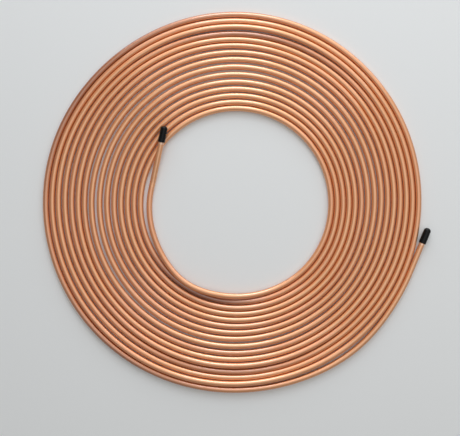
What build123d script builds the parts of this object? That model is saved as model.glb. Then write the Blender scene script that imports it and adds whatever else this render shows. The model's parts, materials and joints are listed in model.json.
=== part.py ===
"""Soft copper tube wound into a flat coil, one tube thick, with a push-on cap on each end.

The coil lies on its flat side. Millimetres, +Z up. The origin is the middle of the coil's outer
circle, on the plane that the coil rests on.
"""

import os
from math import cos, exp, pi, radians, sin

from build123d import *

# Tube
tube_od = 6.35
tube_wall = 0.76

# Winding, seen from above: clockwise and inwards from the outer end.
# Angles are counterclockwise from +X, so the winding runs through falling angles.
outer_turn_radius = 210.0
outer_turn_centre = (0.8, 4.2)
start_angle = -22
end_angle = -193 - 15 * 360
pitch = 6.87
drift_per_turn = (0.29, -0.25)

# The middle turns are wound more loosely than the rest
slack = 0.15
slack_turn = 8.4
slack_spread = 2.4

# The last turn leans in, away from its neighbour
last_lean = 2.7
last_lean_angle = -90 - 15 * 360

# Outer end: leaves the coil on a tangent and rises just enough for its cap to clear the floor
outer_tail = 32.8
outer_rise_angle = 3
outer_rise_radius = 400

# Inner end: leaves the coil on a tangent and climbs over the two innermost turns
inner_tail = 50.5
inner_rise_angle = 10
inner_rise_radius = 60

# Push-on caps
cap_od = 8.0
cap_length = 18.0
cap_end_wall = 1.6
cap_dome = 3.0
cap_mouth_round = 0.3

axis_height = tube_od / 2
cap_grip = cap_length - cap_end_wall


def quarter_angles():
    """Angles at which the winding changes centre: its start, each quarter turn, and its end."""
    angles = [start_angle]
    angle = -90
    while angle > end_angle:
        angles.append(angle)
        angle -= 90
    return angles + [end_angle]


def shrink(angle):
    """How much smaller the next quarter's radius is than the one before it.

    Its centre moves by as much towards the place where they meet, so that the two arcs are
    tangent. Four quarters add up to one pitch.
    """
    turn = -angle / 360
    loose = 1 + slack * exp(-(((turn - slack_turn) / slack_spread) ** 2))
    drift = drift_per_turn[0] * cos(radians(angle)) + drift_per_turn[1] * sin(radians(angle))
    lean = last_lean if angle == last_lean_angle else 0
    return pitch / 4 * loose + drift / 2 + lean


def along(start, heading, distance, rise):
    """The point that lies a distance from start along a level heading, and a rise above it."""
    return start + heading * distance + Vector(0, 0, rise)


def tail_points(start, heading, length, rise_angle, rise_radius):
    """End of a tail's upward bend, and end of the straight run after it, inside the cap."""
    tilt = radians(rise_angle)
    bend_run = rise_radius * sin(tilt)
    bend_end = along(start, heading, bend_run, rise_radius * (1 - cos(tilt)))
    straight = (length - bend_run) / cos(tilt) + cap_grip
    tube_end = along(bend_end, heading, straight * cos(tilt), straight * sin(tilt))
    return bend_end, tube_end


# Centre line of the tube, from its outer end to its inner end
with BuildLine() as winding:
    centre = Vector(*outer_turn_centre, axis_height)
    radius = outer_turn_radius
    angles = quarter_angles()
    for first, last in zip(angles, angles[1:]):
        CenterArc(centre, radius, first, last - first)
        towards_joint = Vector(cos(radians(last)), sin(radians(last)))
        centre = centre + towards_joint * shrink(last)
        radius = radius - shrink(last)

coil_start = winding.line @ 0
coil_end = winding.line @ 1
outer_heading = (winding.line % 0) * -1
inner_heading = winding.line % 1
outer_bend, outer_tip = tail_points(
    coil_start, outer_heading, outer_tail, outer_rise_angle, outer_rise_radius
)
inner_bend, inner_tip = tail_points(
    coil_end, inner_heading, inner_tail, inner_rise_angle, inner_rise_radius
)

with BuildLine() as route:
    Line(outer_tip, outer_bend)
    TangentArc(coil_start, outer_bend, tangent=outer_heading)
    add(winding.line)
    TangentArc(coil_end, inner_bend, tangent=inner_heading)
    Line(inner_bend, inner_tip)

# The tube is one solid, open from end to end
with BuildPart() as copper_tube:
    with BuildSketch(Plane(outer_tip, z_dir=outer_bend - outer_tip)):
        Circle(tube_od / 2)
        Circle(tube_od / 2 - tube_wall, mode=Mode.SUBTRACT)
    sweep(path=route.line)

# Each cap is a blind sleeve, pushed on until the tube meets its end wall
outer_axis = (outer_tip - outer_bend).normalized()
with BuildPart() as outer_end_cap:
    with BuildSketch(Plane(outer_tip, z_dir=outer_axis).offset(-cap_grip)):
        Circle(cap_od / 2)
    extrude(amount=cap_length)
    fillet(faces().sort_by(Axis(outer_tip, outer_axis))[-1].edges(), cap_dome)
    fillet(faces().sort_by(Axis(outer_tip, outer_axis))[0].edges(), cap_mouth_round)
    with BuildSketch(Plane(outer_tip, z_dir=outer_axis).offset(-cap_grip)):
        Circle(tube_od / 2)
    extrude(amount=cap_grip, mode=Mode.SUBTRACT)

inner_axis = (inner_tip - inner_bend).normalized()
with BuildPart() as inner_end_cap:
    with BuildSketch(Plane(inner_tip, z_dir=inner_axis).offset(-cap_grip)):
        Circle(cap_od / 2)
    extrude(amount=cap_length)
    fillet(faces().sort_by(Axis(inner_tip, inner_axis))[-1].edges(), cap_dome)
    fillet(faces().sort_by(Axis(inner_tip, inner_axis))[0].edges(), cap_mouth_round)
    with BuildSketch(Plane(inner_tip, z_dir=inner_axis).offset(-cap_grip)):
        Circle(tube_od / 2)
    extrude(amount=cap_grip, mode=Mode.SUBTRACT)

copper_tube.part.label = "copper_tube"
outer_end_cap.part.label = "outer_end_cap"
inner_end_cap.part.label = "inner_end_cap"

os.makedirs("parts", exist_ok=True)
export_step(copper_tube.part, "parts/copper_tube.step")
export_step(outer_end_cap.part, "parts/outer_end_cap.step")
export_step(inner_end_cap.part, "parts/inner_end_cap.step")

tube_length = route.wires()[0].length
section = pi * ((tube_od / 2) ** 2 - (tube_od / 2 - tube_wall) ** 2)
print(f"tube length {tube_length:.1f} mm, volume {copper_tube.part.volume:.0f} mm3")
print(f"section times length {section * tube_length:.0f} mm3")
for name, tip, axis in (("outer", outer_tip, outer_axis), ("inner", inner_tip, inner_axis)):
    print(name, "tube end", tip, "axis", axis, "cap mouth", tip - axis * cap_grip)
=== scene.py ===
"""Looks of a flat coil of soft copper tube and of the two caps on its ends.

Everything is in metres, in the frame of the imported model: the coil lies on its flat side, +Z up.
"""

import json

import bpy
import numpy as np
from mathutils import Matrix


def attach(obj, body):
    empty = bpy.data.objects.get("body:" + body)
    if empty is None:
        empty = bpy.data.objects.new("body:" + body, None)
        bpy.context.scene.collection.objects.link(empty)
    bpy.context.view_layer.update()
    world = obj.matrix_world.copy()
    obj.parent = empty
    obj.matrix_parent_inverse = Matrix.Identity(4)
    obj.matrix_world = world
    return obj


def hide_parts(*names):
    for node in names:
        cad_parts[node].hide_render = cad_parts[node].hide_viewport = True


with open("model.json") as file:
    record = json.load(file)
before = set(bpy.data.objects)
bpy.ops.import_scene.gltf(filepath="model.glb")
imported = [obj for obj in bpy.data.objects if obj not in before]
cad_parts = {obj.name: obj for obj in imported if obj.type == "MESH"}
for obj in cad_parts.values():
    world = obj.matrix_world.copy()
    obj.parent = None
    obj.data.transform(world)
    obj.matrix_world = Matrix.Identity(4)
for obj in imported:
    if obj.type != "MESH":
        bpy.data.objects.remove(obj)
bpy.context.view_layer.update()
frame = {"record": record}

# Camera
# The photograph is taken from straight above, a little to the left of the coil's middle and
# nearer to its lower side. Its frame is about half a metre wide on the floor.
mm = 0.001
view_centre = (-3.9 * mm, -16.15 * mm)
camera_height = 850 * mm
coil_mid_height = 3 * mm
photo_width = 507.8 * mm
sensor_width = 36.0

camera_data = bpy.data.cameras.new("camera")
camera_data.sensor_fit = "HORIZONTAL"
camera_data.sensor_width = sensor_width
camera_data.lens = sensor_width * (camera_height - coil_mid_height) / photo_width
camera = bpy.data.objects.new("camera", camera_data)
camera.location = (*view_centre, camera_height)
bpy.context.scene.collection.objects.link(camera)
bpy.context.scene.camera = camera

# Copper tube
# One length of soft copper tube, drawn bright, annealed and wound into a flat spiral by a
# coiling machine, one tube thick. Handling has left the turns a little uneven, and some of
# them ride higher than their neighbours.
tube_radius = 6.35 / 2 * mm
tube_wall = 0.76 * mm
bore_radius = tube_radius - tube_wall

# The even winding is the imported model's, clockwise and inwards. Angles are in degrees,
# counterclockwise from +X. The middle turns are looser, and the last one leans in.
outer_turn_radius = 210.0 * mm
outer_turn_centre = np.array([0.8, 4.2]) * mm
start_angle = -22
turns = 15
end_angle = -193 - turns * 360
pitch = 6.87 * mm
drift_per_turn = np.array([0.29, -0.25]) * mm
slack = 0.15
slack_turn = 8.4
slack_spread = 2.4
last_lean = 2.7 * mm
last_lean_angle = -90 - turns * 360

# Where turns stand off their even place in the plane of the coil, outwards if positive:
# turn, spread in turns, angle clockwise from +X, spread in degrees, millimetres
leans = (
    (0.5, 2.3, 230, 32, -2.3),
    (2.4, 1.4, 196, 20, 0.6),
    (3.7, 0.5, 268, 28, -0.15),
    (4.8, 0.5, 306, 28, -0.5),
    (5.3, 0.7, 262, 28, 1.05),
    (8.2, 2.6, 270, 36, 1.7),
    (6.6, 3.0, 315, 28, 0.8),
    (0.3, 0.7, 50, 19, 2.8),
    (12.5, 4.0, 45, 24, 1.0),
    (6.5, 3.4, 14, 28, -1.3),
    (7.6, 2.0, 78, 30, -1.2),
    (4.6, 0.8, 74, 28, -0.8),
    (8.3, 0.45, 95, 50, -0.3),
    (1.5, 0.7, 80, 20, -0.8),
    (1.0, 1.5, 135, 26, 1.1),
    (7.0, 1.0, 165, 40, 1.0),
    (14.7, 0.5, 264, 28, 0.4),
    (15.35, 0.4, 126, 20, 3.0),
    (8.0, 16.0, 275, 45, -0.35),
)

# Where turns ride above the floor: the same columns
lifts = (
    (15.33, 0.45, 114, 36, 5.6),
    (1.25, 0.5, 90, 40, 2.4),
    (4.25, 0.5, 92, 38, 2.8),
    (7.25, 0.5, 90, 34, 1.0),
    (1.65, 0.4, 232, 30, 1.0),
    (2.75, 0.5, 276, 46, 3.0),
    (13.3, 0.5, 92, 36, 0.8),
)

# Where the metal is painted darker and redder and made rougher: the same columns, with the
# strength last. The rows marked below are painted shade, on turns in the shadow of a raised
# neighbour and on the lower left side of the coil. The others darken stretches where the turns
# are dimmer.
shade_and_dimming_rows = (
    (0.5, 0.8, 215, 48, 0.35),
    (1.65, 0.5, 238, 30, 0.18),
    # painted shade: turn 0 beside the raised turn 1 at the bottom
    (0.3, 0.4, 112, 34, 0.3),
    (1.0, 0.6, 0, 26, 0.15),
    # painted shade: turn 3 beside the raised turn 2 at the top
    (3.75, 0.4, 282, 48, 0.4),
    # painted shade: turn 3 beside the raised turn 4 at the bottom
    (3.25, 0.4, 95, 42, 0.35),
    # painted shade: turn 6 beside the raised turn 7 at the bottom
    (6.25, 0.4, 92, 34, 0.15),
    (14.95, 0.45, 20, 70, 0.2),
    # painted shade: turn 14 beside the raised last turn
    (14.4, 0.4, 110, 40, 0.5),
    (15.2, 0.6, 185, 40, 0.25),
    # painted shade: the lower left side of the coil, on every turn
    (8.0, 16.0, 140, 34, 0.16),
)

# Leans and lifts fade out over this many turns before each end
end_calm = 0.05

# Each tail bends upwards on this radius before its straight run
outer_rise_radius = 400 * mm
inner_rise_radius = 60 * mm

# The tube is painted paler and made smoother in a narrow band at each cap's mouth, this far
# from the tube's end
pale_band_from_end = 17.6 * mm
pale_band_spread = 1.0 * mm
pale_band_strength = 0.4

# Rings of points along the tube, and points round each. The bore is hidden, so it has one ring
# for every few of the outside.
samples_per_turn = 190
bend_samples = 10
run_samples = 30
sides = 24
bore_step = 3


def bumps(rows, turn, clockwise):
    """Sum of rounded bumps, each a bell curve over the turn number times one over the angle."""
    total = np.zeros_like(turn)
    for middle, spread, angle, width, height in rows:
        off = (clockwise - angle + 180) % 360 - 180
        total += height * np.exp(-(((turn - middle) / spread) ** 2) - (off / width) ** 2)
    return total


def winding(angle):
    """Centre line of the turns at an array of angles, as points in space.

    Arcs of a quarter turn follow each other. At each joint the radius shrinks and the centre
    moves as far towards the joint, so that the arcs are tangent. Leans then move a point along
    its radius and lifts raise it.
    """
    joint = np.arange(-90, end_angle, -90)
    normal = np.stack([np.cos(np.radians(joint)), np.sin(np.radians(joint))], axis=1)
    loose = 1 + slack * np.exp(-(((-joint / 360 - slack_turn) / slack_spread) ** 2))
    shrink = pitch / 4 * loose + normal @ drift_per_turn / 2
    shrink += np.where(joint == last_lean_angle, last_lean, 0)
    shrink = np.concatenate([[0], shrink])
    normal = np.concatenate([[[0, 0]], normal])
    centre = outer_turn_centre + np.cumsum(normal * shrink[:, None], axis=0)
    radius = outer_turn_radius - np.cumsum(shrink)
    arc = np.searchsorted(-joint, -angle)
    outwards = np.stack([np.cos(np.radians(angle)), np.sin(np.radians(angle))], axis=1)
    turn = -angle / 360
    from_ends = np.minimum(turn + start_angle / 360, -end_angle / 360 - turn)
    calm = 1 - np.exp(-((from_ends / end_calm) ** 2))
    reach = radius[arc] + bumps(leans, turn, -angle) * calm * mm
    height = tube_radius + bumps(lifts, turn, -angle) * calm * mm
    return np.column_stack([centre[arc] + outwards * reach[:, None], height])


def tail(start, heading, mount, rise_radius):
    """Centre line of a tail: an upward arc that starts level, then a straight run to the end.

    The end and the straight run's direction are those of the mount at the tube's end.
    """
    axis = np.array(mount["axis"])
    tilt = np.linspace(0, np.arcsin(axis[2]), bend_samples)[1:]
    level = np.append(heading, 0)
    bend = start + rise_radius * (
        np.sin(tilt)[:, None] * level + (1 - np.cos(tilt))[:, None] * np.array([0, 0, 1])
    )
    end = np.array(mount["pos_m"])
    run = np.linspace(0, 1, run_samples)[1:, None]
    return np.concatenate([bend, bend[-1] + (end - bend[-1]) * run])


def level_heading(angle, way):
    """Unit vector in the floor plane, square to the radius at an angle: way 1 is clockwise."""
    return way * np.array([np.sin(np.radians(angle)), -np.cos(np.radians(angle))])


mounts = {mount["name"]: mount for mount in frame["record"]["mounts"]}
winding_samples = round((start_angle - end_angle) / 360 * samples_per_turn)
angles = np.linspace(start_angle, end_angle, winding_samples)
turns_line = winding(angles)
outer_tail = tail(
    turns_line[0], level_heading(start_angle, -1), mounts["outer_tube_end"], outer_rise_radius
)
inner_tail = tail(
    turns_line[-1], level_heading(end_angle, 1), mounts["inner_tube_end"], inner_rise_radius
)
tube_line = np.concatenate([outer_tail[::-1], turns_line, inner_tail])
# Painted shade and dimming for each ring of the path, none on the tails
shade_and_dimming_along = np.concatenate(
    [np.zeros(len(outer_tail)), bumps(shade_and_dimming_rows, -angles / 360, -angles), np.zeros(len(inner_tail))]
)


def along_path(path):
    """Distance along a path, and at each of its points the unit vectors beside and above it."""
    distance = np.append(0, np.cumsum(np.linalg.norm(np.diff(path, axis=0), axis=1)))
    forward = np.gradient(path, distance, axis=0)
    forward /= np.linalg.norm(forward, axis=1, keepdims=True)
    side = np.cross(forward, [0, 0, 1])
    side /= np.linalg.norm(side, axis=1, keepdims=True)
    return distance, side, np.cross(side, forward)


def ring_walls(first, rings, around):
    """Quads between each ring of vertices and the next, from a first vertex number on.

    A quad joins a vertex, the one after it round the ring, and the same two of the next ring.
    """
    ring = first + np.arange(rings - 1)[:, None] * around
    here = np.arange(around)
    after = (here + 1) % around
    quads = [ring + here, ring + around + here, ring + around + after, ring + after]
    return np.stack(quads, axis=2).reshape(-1, 4)


def tube_mesh(path, shade_and_dimming_along):
    """Closed skin of a tube with its bore: rings of points round the path.

    A ring's point is the path's point, plus radius times the cosine of its angle beside it, plus
    radius times the sine above it. The bore has fewer rings, and a flat ring closes each end.
    The drawn attribute is the distance along the tube and the place across it. The second
    attribute is the painted shade and dimming of each ring of points, less a bell curve that
    makes a paler band at each cap's mouth.
    """
    distance, side, above = along_path(path)
    round_angle = np.arange(sides) / sides * 2 * np.pi
    cosine = np.cos(round_angle)[:, None]
    sine = np.sin(round_angle)[:, None]
    spoke = side[:, None] * cosine + above[:, None] * sine
    inside = np.unique(np.append(np.arange(0, len(path), bore_step), len(path) - 1))
    outer_skin = path[:, None] + spoke * tube_radius
    bore_skin = path[inside, None] + spoke[inside] * bore_radius
    corners = np.concatenate([outer_skin.reshape(-1, 3), bore_skin.reshape(-1, 3)])

    first_bore = len(path) * sides
    walls = ring_walls(0, len(path), sides)
    bore = ring_walls(first_bore, len(inside), sides)[:, ::-1]
    here = np.arange(sides)
    after = (here + 1) % sides
    last_outer = first_bore - sides
    last_bore = len(corners) - sides
    start_rim = np.stack([here, after, first_bore + after, first_bore + here], axis=1)
    end_rim = np.stack(
        [last_outer + here, last_bore + here, last_bore + after, last_outer + after], axis=1
    )
    faces = np.concatenate([walls, bore, start_rim, end_rim])

    mesh = bpy.data.meshes.new("copper_tube")
    mesh.from_pydata(corners.tolist(), [], faces.tolist())
    mesh.polygons.foreach_set("use_smooth", np.arange(len(faces)) < len(walls) + len(bore))

    across = np.hstack([cosine, sine]) * tube_radius
    drawn = np.empty((len(corners), 3), np.float32)
    drawn[:, 0] = np.repeat(np.append(distance, distance[inside]), sides)
    drawn[:, 1:] = np.tile(across, (len(path) + len(inside), 1))
    drawn_place = mesh.attributes.new("drawn", "FLOAT_VECTOR", "POINT")
    drawn_place.data.foreach_set("vector", drawn.ravel())

    # The paler band at each cap's mouth is subtracted, so the colour there is painted paler
    from_end = np.minimum(distance, distance[-1] - distance)
    pale_band = np.exp(-(((from_end - pale_band_from_end) / pale_band_spread) ** 2))
    shade_and_dimming = shade_and_dimming_along - pale_band_strength * pale_band
    shade_and_dimming = np.repeat(np.append(shade_and_dimming, shade_and_dimming[inside]), sides).astype(np.float32)
    mesh.attributes.new("shade_and_dimming", "FLOAT", "POINT").data.foreach_set("value", shade_and_dimming)
    return mesh


def linear(hex_colour):
    """An sRGB hex colour as linear red, green, blue and alpha."""
    parts = np.array([int(hex_colour[i : i + 2], 16) / 255 for i in (1, 3, 5)])
    dark = parts / 12.92
    bright = ((parts + 0.055) / 1.055) ** 2.4
    return (*np.where(parts <= 0.04045, dark, bright), 1.0)


def node(material, kind, settings=None, **links):
    """Add a shader node, set its sockets or properties, and link its sockets from others.

    A link's value is an output socket. Names use _ for a space.
    """
    made = material.node_tree.nodes.new(kind)
    for name, value in (settings or {}).items():
        if name in made.inputs:
            made.inputs[name].default_value = value
        else:
            setattr(made, name, value)
    for name, output in links.items():
        material.node_tree.links.new(output, made.inputs[name.replace("_", " ")])
    return made


def empty_material(name):
    """A material with its output and principled shader, which is returned second."""
    material = bpy.data.materials.new(name)
    material.use_nodes = True
    return material, material.node_tree.nodes["Principled BSDF"]


def drawn_copper():
    """Soft drawn copper, bright annealed, under a thin clear film of drawing oil.

    The draw leaves fine lines along the tube and annealing leaves slow bands, so the eye sees a
    satin tan orange metal. The film whitens its highlights. Where the shade and dimming attribute
    is above zero, the colour is painted darker and redder and the metal is made rougher. This is
    painted shade on turns in the shadow of raised neighbours and on the lower left side of the
    coil, and elsewhere darker stretches of the turns. Where it is below zero, in a band at each
    cap's mouth, the colour is painted paler and the metal is made smoother.
    """
    material, shader = empty_material("soft_drawn_copper")
    line_width = 0.5 * mm
    line_length = 60 * mm
    band_width = 5 * tube_radius
    band_length = 600 * mm
    shade_and_dimming_roughness = 0.35
    place = node(material, "ShaderNodeAttribute", {"attribute_name": "drawn"}).outputs["Vector"]
    stretched = node(
        material, "ShaderNodeMapping",
        {"Scale": (1 / line_length, 1 / line_width, 1 / line_width)}, Vector=place,
    ).outputs["Vector"]
    lines = node(
        material, "ShaderNodeTexNoise",
        {"Scale": 1.0, "Detail": 3.0, "Roughness": 0.6}, Vector=stretched,
    ).outputs["Fac"]
    banded = node(
        material, "ShaderNodeMapping",
        {"Scale": (1 / band_length, 1 / band_width, 1 / band_width)}, Vector=place,
    ).outputs["Vector"]
    bands = node(
        material, "ShaderNodeTexNoise",
        {"Scale": 1.0, "Detail": 4.0, "Roughness": 0.55}, Vector=banded,
    ).outputs["Fac"]
    # Painted shade and dimming, read from the mesh, shift the slow bands along the ramp
    shade_and_dimming = node(material, "ShaderNodeAttribute", {"attribute_name": "shade_and_dimming"}).outputs["Fac"]
    bands_and_shade = node(material, "ShaderNodeMath", {"operation": "ADD"}, Value=bands)
    tint = node(material, "ShaderNodeValToRGB", Fac=bands_and_shade.outputs["Value"])
    # The slow bands run through the middle stops. The dark red end is painted shade on turns in the
    # shadow of raised neighbours and on the lower left side, and elsewhere the colour of darker
    # stretches. The pale end is the painted paler band at each cap's mouth.
    stops = tint.color_ramp.elements
    stops[0].position = 0.05
    stops[0].color = linear("#FFD6B8")
    stops[1].position = 1.0
    stops[1].color = linear("#AC6236")
    for position, colour in ((0.3, "#FCB67A"), (0.5, "#F8AD6F"), (0.7, "#F3A66C")):
        stops.new(position).color = linear(colour)
    shade = node(
        material, "ShaderNodeMapRange",
        {"From Min": 0.3, "From Max": 0.7, "To Min": 0.42, "To Max": 0.54}, Value=lines,
    ).outputs["Result"]
    rough = node(material, "ShaderNodeMath", {"operation": "MULTIPLY_ADD"}, Value=shade_and_dimming)
    relief = node(
        material, "ShaderNodeBump", {"Strength": 0.25, "Distance": 0.02 * mm}, Height=lines
    ).outputs["Normal"]
    links = material.node_tree.links
    links.new(shade_and_dimming, bands_and_shade.inputs[1])
    rough.inputs[1].default_value = shade_and_dimming_roughness
    links.new(shade, rough.inputs[2])
    links.new(tint.outputs["Color"], shader.inputs["Base Color"])
    links.new(rough.outputs["Value"], shader.inputs["Roughness"])
    links.new(relief, shader.inputs["Normal"])
    shader.inputs["Metallic"].default_value = 0.92
    shader.inputs["Specular Tint"].default_value = linear("#E8B088")
    shader.inputs["Coat Weight"].default_value = 1.0
    shader.inputs["Coat Roughness"].default_value = 0.15
    shader.inputs["Coat IOR"].default_value = 2.2
    return material


copper_tube = bpy.data.objects.new("coiled_tube", tube_mesh(tube_line, shade_and_dimming_along))
copper_tube.data.materials.append(drawn_copper())
bpy.context.scene.collection.objects.link(copper_tube)
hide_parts("copper_tube")
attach(copper_tube, "root")

# End caps
# Each end of the tube is closed by a black vinyl cap, dip moulded and pushed on by hand. It is
# a blind sleeve with a domed tip, and grips the tube by being a little too small for it.
cap_radius = 8.0 / 2 * mm
cap_length = 18.0 * mm
cap_end_wall = 1.6 * mm
cap_dome_length = 3.2 * mm
cap_narrowing = 0.035
cap_sides = 48

# Stretched over the tube, the bore still clears it by this much, so that no faces meet
cap_clearance = 0.02 * mm


def cap_profile():
    """Half outline of a cap as distance from the tip's end and radius, from its bore to its tip.

    The bore is straight and the mouth's rim is a half circle. The sleeve's radius falls by the
    cube of the way to the dome, and the dome is a quarter ellipse. Each part starts just past
    the end of the one before it.
    """
    inner = tube_radius + cap_clearance
    bore_end = np.array([[cap_end_wall - cap_clearance], [inner]])

    rim_radius = (cap_radius - inner) / 2
    turned = np.radians(np.linspace(-90, 90, 9))
    rim = np.stack(
        [cap_length - rim_radius * (1 - np.cos(turned)), inner + rim_radius * (1 + np.sin(turned))]
    )
    way = np.linspace(0.06, 1, 14)
    sleeve = np.stack(
        [cap_length - (cap_length - cap_dome_length) * way, cap_radius * (1 - cap_narrowing * way**3)]
    )
    climb = np.radians(np.linspace(8, 90, 12))
    dome = np.stack(
        [cap_dome_length * (1 - np.sin(climb)), cap_radius * (1 - cap_narrowing) * np.cos(climb)]
    )
    return np.hstack([bore_end, rim, sleeve, dome]).T


def lathe(profile, tip, axis):
    """Closed skin made by turning a profile about an axis that ends at the tip.

    A point is the tip, less its distance along the axis, plus its radius times a spoke. A fan of
    triangles closes the last ring at the tip, and a disc closes the first ring.
    """
    across = np.cross(axis, [0, 0, 1])
    across /= np.linalg.norm(across)
    upright = np.cross(across, axis)
    spin = np.arange(cap_sides) / cap_sides * 2 * np.pi
    spoke = np.cos(spin)[:, None] * across + np.sin(spin)[:, None] * upright
    distance, radius = profile[:-1].T[:, :, None, None]
    rings = tip - axis * distance + spoke * radius
    corners = np.concatenate([rings.reshape(-1, 3), [tip]])

    first_ring = np.arange(cap_sides)
    last_ring = first_ring + (len(rings) - 1) * cap_sides
    tip_corner = np.full(cap_sides, len(corners) - 1)
    fan = np.stack([np.roll(last_ring, -1), last_ring, tip_corner], axis=1)
    walls = ring_walls(0, len(rings), cap_sides)
    return corners, [*walls.tolist(), *fan.tolist(), first_ring.tolist()]


def dipped_vinyl():
    """Soft black vinyl, dip moulded.

    The dip leaves a smooth skin with slow ripples and a low gloss, so it shows one soft streak
    of the light along its side.
    """
    material, shader = empty_material("dipped_black_vinyl")
    shader.inputs["Base Color"].default_value = linear("#040405")
    shader.inputs["Specular IOR Level"].default_value = 0.26
    ripple_size = 3 * mm
    place = node(material, "ShaderNodeTexCoord").outputs["Object"]
    ripple = node(
        material, "ShaderNodeTexNoise", {"Scale": 1 / ripple_size, "Detail": 4.0}, Vector=place
    ).outputs["Fac"]
    shade = node(
        material, "ShaderNodeMapRange",
        {"From Min": 0.3, "From Max": 0.7, "To Min": 0.2, "To Max": 0.34}, Value=ripple,
    ).outputs["Result"]
    relief = node(
        material, "ShaderNodeBump", {"Strength": 0.3, "Distance": 0.15 * mm}, Height=ripple
    ).outputs["Normal"]
    links = material.node_tree.links
    links.new(shade, shader.inputs["Roughness"])
    links.new(relief, shader.inputs["Normal"])
    return material


vinyl = dipped_vinyl()
for name, solid, end in (
    ("outer_cap", "outer_end_cap", "outer_tube_end"),
    ("inner_cap", "inner_end_cap", "inner_tube_end"),
):
    axis = np.array(mounts[end]["axis"])
    tip = np.array(mounts[end]["pos_m"]) + axis * cap_end_wall
    corners, faces = lathe(cap_profile(), tip, axis)
    mesh = bpy.data.meshes.new(name)
    mesh.from_pydata(corners.tolist(), [], faces)
    mesh.polygons.foreach_set("use_smooth", np.ones(len(faces), bool))
    mesh.materials.append(vinyl)
    cap = bpy.data.objects.new(name, mesh)
    bpy.context.scene.collection.objects.link(cap)
    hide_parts(solid)
    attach(cap, "root")

# Floor and light
# A smooth pale sheet lies under the coil. A bright and slightly cool window stands beyond the
# top of the picture, in a dimmer wall of light that throws long soft shadows towards the
# bottom. A wide soft ceiling hangs a little to the right, and the room around is plain.
floor_half = 3.0
floor_mesh = bpy.data.meshes.new("floor")
floor_mesh.from_pydata(
    [(-floor_half, -floor_half, 0), (floor_half, -floor_half, 0),
     (floor_half, floor_half, 0), (-floor_half, floor_half, 0)],
    [], [(0, 1, 2, 3)],
)
floor = bpy.data.objects.new("floor", floor_mesh)
floor_material, floor_shader = empty_material("pale_sheet")
floor_shader.inputs["Base Color"].default_value = linear("#EFF0EE")
floor_shader.inputs["Roughness"].default_value = 0.6
floor_mesh.materials.append(floor_material)
bpy.context.scene.collection.objects.link(floor)


def panel(name, place, target, size, energy, tint):
    """A flat soft light: its middle, the point it faces, its two sides, watts and tint."""
    light = bpy.data.lights.new(name, "AREA")
    light.shape = "RECTANGLE"
    light.size, light.size_y = size
    light.energy = energy
    light.color = linear(tint)[:3]
    lamp = bpy.data.objects.new(name, light)
    lamp.location = place
    facing = np.array(target) - np.array(place)
    lamp.rotation_euler = (
        np.arctan2(np.hypot(facing[0], facing[1]), -facing[2]),
        0,
        np.arctan2(facing[1], facing[0]) - np.pi / 2,
    )
    lamp.visible_camera = False
    bpy.context.scene.collection.objects.link(lamp)


panel("window", (0.02, 1.1, 1.05), (0.02, 0, 1.05), size=(0.5, 1.1), energy=6.2, tint="#EEF5FF")
panel("wall", (0.5, 1.8, 0.8), (0.5, 0, 0.8), size=(3.6, 1.1), energy=23, tint="#F6F9FF")
panel("ceiling", (0.62, 0.75, 1.4), (0.62, 0.75, 0), size=(2.8, 2.4), energy=12.8, tint="#FFFFFF")

room = bpy.data.worlds.new("room")
room.use_nodes = True
background = room.node_tree.nodes["Background"]
background.inputs["Color"].default_value = linear("#F2F2F2")
background.inputs["Strength"].default_value = 0.29
bpy.context.scene.world = room
bpy.context.scene.view_settings.view_transform = "Standard"
